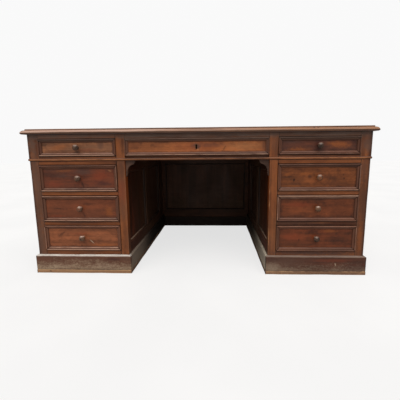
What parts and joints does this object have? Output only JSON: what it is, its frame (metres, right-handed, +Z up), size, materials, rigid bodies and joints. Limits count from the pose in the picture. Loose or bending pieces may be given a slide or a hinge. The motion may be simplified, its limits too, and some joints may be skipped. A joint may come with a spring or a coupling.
{
  "type": "pedestal writing desk",
  "caption": "Flat-topped wooden writing desk with a moulded top, a frieze of drawers, a kneehole between two drawer pedestals, turned knobs, raised drawer mouldings and chamfered plinths.",
  "frame": {"origin": "on the floor, under the middle of the desk's box", "axes": "+X to the sitter's right as the drawers are faced, +Y from the drawers to the back, +Z up"},
  "size_m": [1.76, 0.962, 0.76],
  "materials": {
    "polished_walnut": "old wax polish, worn along the edges",
    "figured_walnut": "old polish on figured veneer",
    "dark_walnut": "dark stained, rubbed pale on the ridges",
    "plinth_walnut": "dull, dusty and scuffed",
    "bare_wood": "bare, worn to the wood",
    "drawer_wood": "unfinished inner wood",
    "lock_brass": "tarnished",
    "lock_steel": "dull"
  },
  "bodies": {
    "carcase": {"base_shoes": "bare_wood", "desk_top": "polished_walnut", "frieze_bead": "polished_walnut", "frieze_boards": "polished_walnut", "frieze_frame": "polished_walnut", "frieze_partitions": "drawer_wood", "frieze_runners": "drawer_wood", "glue_blocks": "drawer_wood", "kneehole_brackets": "dark_walnut", "left_pedestal_front": "polished_walnut", "left_pedestal_panels": "figured_walnut", "left_pedestal_sides": "polished_walnut", "left_plinth": "plinth_walnut", "modesty_frame": "polished_walnut", "modesty_panel": "figured_walnut", "modesty_skirting": "plinth_walnut", "panel_beads": "dark_walnut", "pedestal_backs": "polished_walnut", "pedestal_runners": "drawer_wood", "right_pedestal_front": "polished_walnut", "right_pedestal_panels": "figured_walnut", "right_pedestal_sides": "polished_walnut", "right_plinth": "plinth_walnut"},
    "left_upper_drawer": {"left_upper_drawer_box": "drawer_wood", "left_upper_drawer_front": "figured_walnut", "left_upper_drawer_knob": "dark_walnut", "left_upper_drawer_moulding": "dark_walnut"},
    "right_upper_drawer": {"right_upper_drawer_box": "drawer_wood", "right_upper_drawer_front": "figured_walnut", "right_upper_drawer_knob": "dark_walnut", "right_upper_drawer_moulding": "dark_walnut"},
    "left_middle_drawer": {"left_middle_drawer_box": "drawer_wood", "left_middle_drawer_front": "figured_walnut", "left_middle_drawer_knob": "dark_walnut", "left_middle_drawer_moulding": "dark_walnut"},
    "right_middle_drawer": {"right_middle_drawer_box": "drawer_wood", "right_middle_drawer_front": "figured_walnut", "right_middle_drawer_knob": "dark_walnut", "right_middle_drawer_moulding": "dark_walnut"},
    "left_lower_drawer": {"left_lower_drawer_box": "drawer_wood", "left_lower_drawer_front": "figured_walnut", "left_lower_drawer_knob": "dark_walnut", "left_lower_drawer_moulding": "dark_walnut"},
    "right_lower_drawer": {"right_lower_drawer_box": "drawer_wood", "right_lower_drawer_front": "figured_walnut", "right_lower_drawer_knob": "dark_walnut", "right_lower_drawer_moulding": "dark_walnut"},
    "left_frieze_drawer": {"left_frieze_drawer_box": "drawer_wood", "left_frieze_drawer_front": "figured_walnut", "left_frieze_drawer_knob": "dark_walnut", "left_frieze_drawer_moulding": "dark_walnut"},
    "right_frieze_drawer": {"right_frieze_drawer_box": "drawer_wood", "right_frieze_drawer_front": "figured_walnut", "right_frieze_drawer_knob": "dark_walnut", "right_frieze_drawer_moulding": "dark_walnut"},
    "centre_drawer": {"centre_drawer_box": "drawer_wood", "centre_drawer_front": "figured_walnut", "centre_drawer_moulding": "dark_walnut", "lock_case": "lock_brass"},
    "lock_bolt": {"lock_bolt": "lock_steel"}
  },
  "joints": [
    {"name": "left_upper_drawer_slide", "type": "slide", "parent": "carcase", "child": "left_upper_drawer", "axis": [0, -1, 0], "range_m": [0, 0.45]},
    {"name": "right_upper_drawer_slide", "type": "slide", "parent": "carcase", "child": "right_upper_drawer", "axis": [0, -1, 0], "range_m": [0, 0.45]},
    {"name": "left_middle_drawer_slide", "type": "slide", "parent": "carcase", "child": "left_middle_drawer", "axis": [0, -1, 0], "range_m": [0, 0.45]},
    {"name": "right_middle_drawer_slide", "type": "slide", "parent": "carcase", "child": "right_middle_drawer", "axis": [0, -1, 0], "range_m": [0, 0.45]},
    {"name": "left_lower_drawer_slide", "type": "slide", "parent": "carcase", "child": "left_lower_drawer", "axis": [0, -1, 0], "range_m": [0, 0.45]},
    {"name": "right_lower_drawer_slide", "type": "slide", "parent": "carcase", "child": "right_lower_drawer", "axis": [0, -1, 0], "range_m": [0, 0.45]},
    {"name": "left_frieze_drawer_slide", "type": "slide", "parent": "carcase", "child": "left_frieze_drawer", "axis": [0, -1, 0], "range_m": [0, 0.45]},
    {"name": "right_frieze_drawer_slide", "type": "slide", "parent": "carcase", "child": "right_frieze_drawer", "axis": [0, -1, 0], "range_m": [0, 0.45]},
    {"name": "centre_drawer_slide", "type": "slide", "parent": "carcase", "child": "centre_drawer", "axis": [0, -1, 0], "range_m": [0, 0.45]},
    {"name": "lock_bolt_slide", "type": "slide", "parent": "centre_drawer", "child": "lock_bolt", "axis": [0, 0, 1], "range_m": [0, 0.008]}
  ]
}
